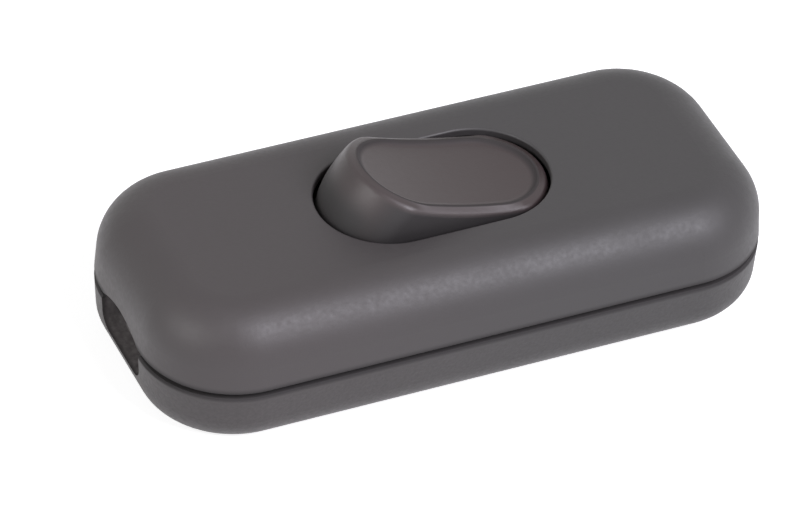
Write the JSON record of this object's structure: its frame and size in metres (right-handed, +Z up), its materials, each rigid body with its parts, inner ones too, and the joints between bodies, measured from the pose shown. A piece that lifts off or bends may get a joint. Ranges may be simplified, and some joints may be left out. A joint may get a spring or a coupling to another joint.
{
  "type": "inline cord switch",
  "caption": "Two-shell inline cord switch with a rocker that tilts in a stadium-shaped opening; screw terminals, rocking contact and cord clamps inside.",
  "frame": {"origin": "centre of the flat underside", "axes": "+X along the housing from the raised end of the rocker to the pressed end, +Z up out of the rocker's face"},
  "size_m": [0.063, 0.0284, 0.0186],
  "materials": {
    "shell_plastic": "fine moulded grain",
    "rocker_plastic": "smooth satin moulding",
    "insert_plastic": "natural moulding",
    "brass": "pressed and turned, plain",
    "contact_silver": "silver alloy",
    "plated_steel": "zinc plated",
    "spring_steel": "drawn wire"
  },
  "bodies": {
    "housing": {"bottom_shell": "shell_plastic", "top_shell": "shell_plastic", "fixed_contact": "contact_silver", "load_terminal": "brass", "line_terminal": "brass", "neutral_connector": "brass", "load_screw": "plated_steel", "line_screw": "plated_steel", "neutral_screw_left": "plated_steel", "neutral_screw_right": "plated_steel", "cord_clamp_left": "insert_plastic", "cord_clamp_right": "insert_plastic", "clamp_screw_left_front": "plated_steel", "clamp_screw_left_back": "plated_steel", "clamp_screw_right_front": "plated_steel", "clamp_screw_right_back": "plated_steel", "housing_screw_left": "plated_steel", "housing_screw_right": "plated_steel"},
    "rocker": {"rocker": "rocker_plastic", "plunger_spring": "spring_steel"},
    "plunger": {"plunger": "insert_plastic"},
    "contact_arm": {"contact_arm": "brass", "moving_contact": "contact_silver"}
  },
  "joints": [
    {"name": "rocker_tilt", "type": "hinge", "parent": "housing", "child": "rocker", "pos_m": [0, 0, 0.0101], "axis": [0, -1, 0], "range_deg": [0, 28.8]},
    {"name": "plunger_slide", "type": "slide", "parent": "rocker", "child": "plunger", "axis": [0.2487, 0, 0.9686], "range_m": [0, 0.0008], "stiffness_N_per_m": 250, "springref_m": -0.0015, "deforming": ["plunger_spring"]},
    {"name": "contact_rock", "type": "hinge", "parent": "housing", "child": "contact_arm", "pos_m": [0, 0, 0.00481], "axis": [0, 1, 0], "range_deg": [0, 16]}
  ],
  "couplings": [
    {"joint": "contact_rock", "follows": "rocker_tilt", "ratio": 0.5555}
  ]
}
